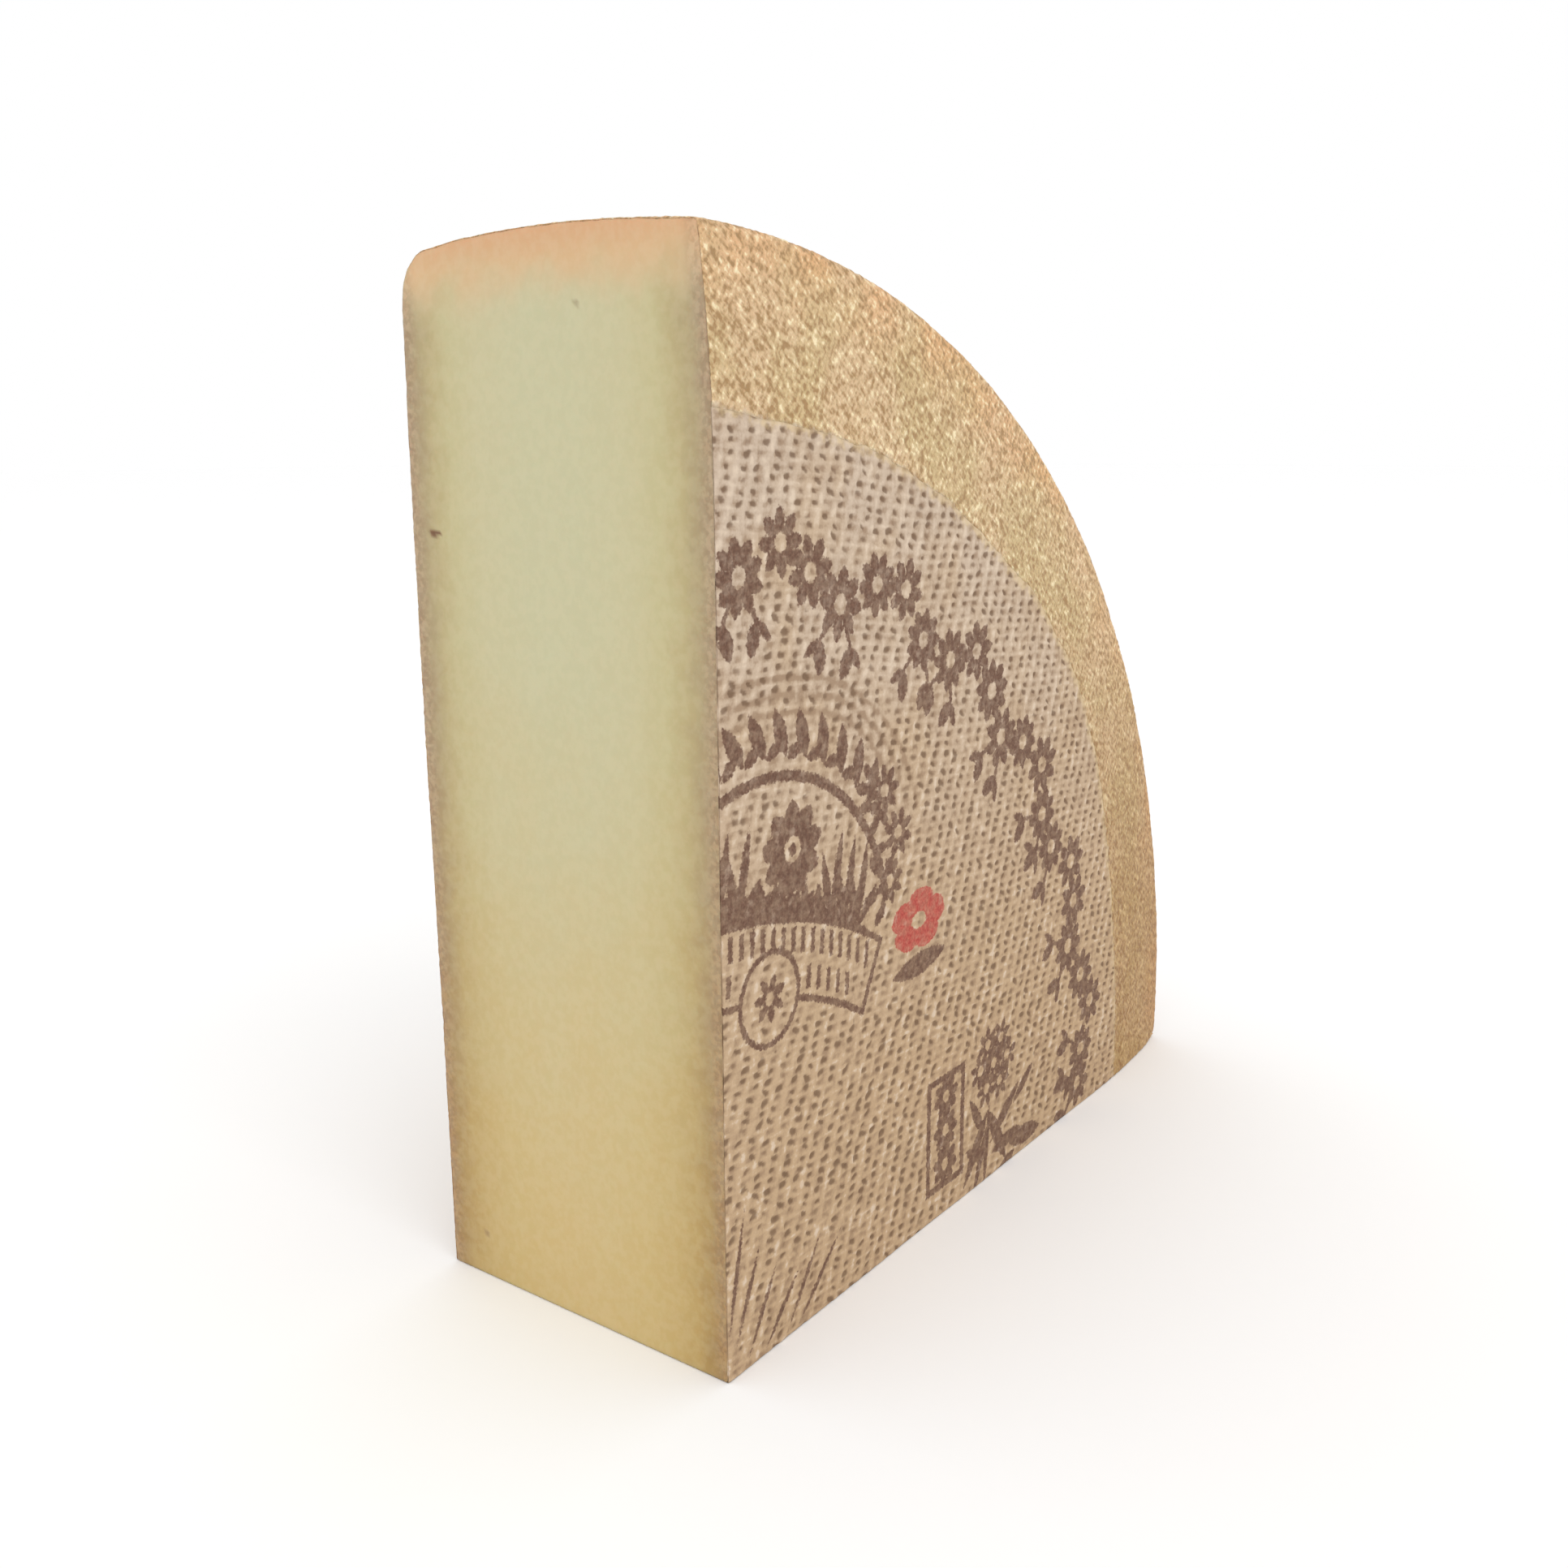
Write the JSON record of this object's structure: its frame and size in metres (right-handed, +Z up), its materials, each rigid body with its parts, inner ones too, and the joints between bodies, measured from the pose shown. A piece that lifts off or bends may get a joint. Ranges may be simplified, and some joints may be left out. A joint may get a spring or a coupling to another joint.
{
  "type": "cheese wedge",
  "caption": "Quarter of a large pressed hard-cheese wheel, standing on a cut face, with cloth-marked rind and a printed sheet on its flat side.",
  "frame": {"origin": "middle of the base of the object's box, on the surface it stands on", "axes": "+Z up, the wheel's axis along Y; the printed flat side looks towards -Y, the upright cut face towards -X, and the rim runs from the top at -X down to the base at +X"},
  "size_m": [0.28, 0.101, 0.28],
  "materials": {
    "cheese": "satin",
    "label": "matte"
  },
  "bodies": {
    "root": {"cheese_wedge": "cheese", "face_label": "label"}
  },
  "joints": []
}
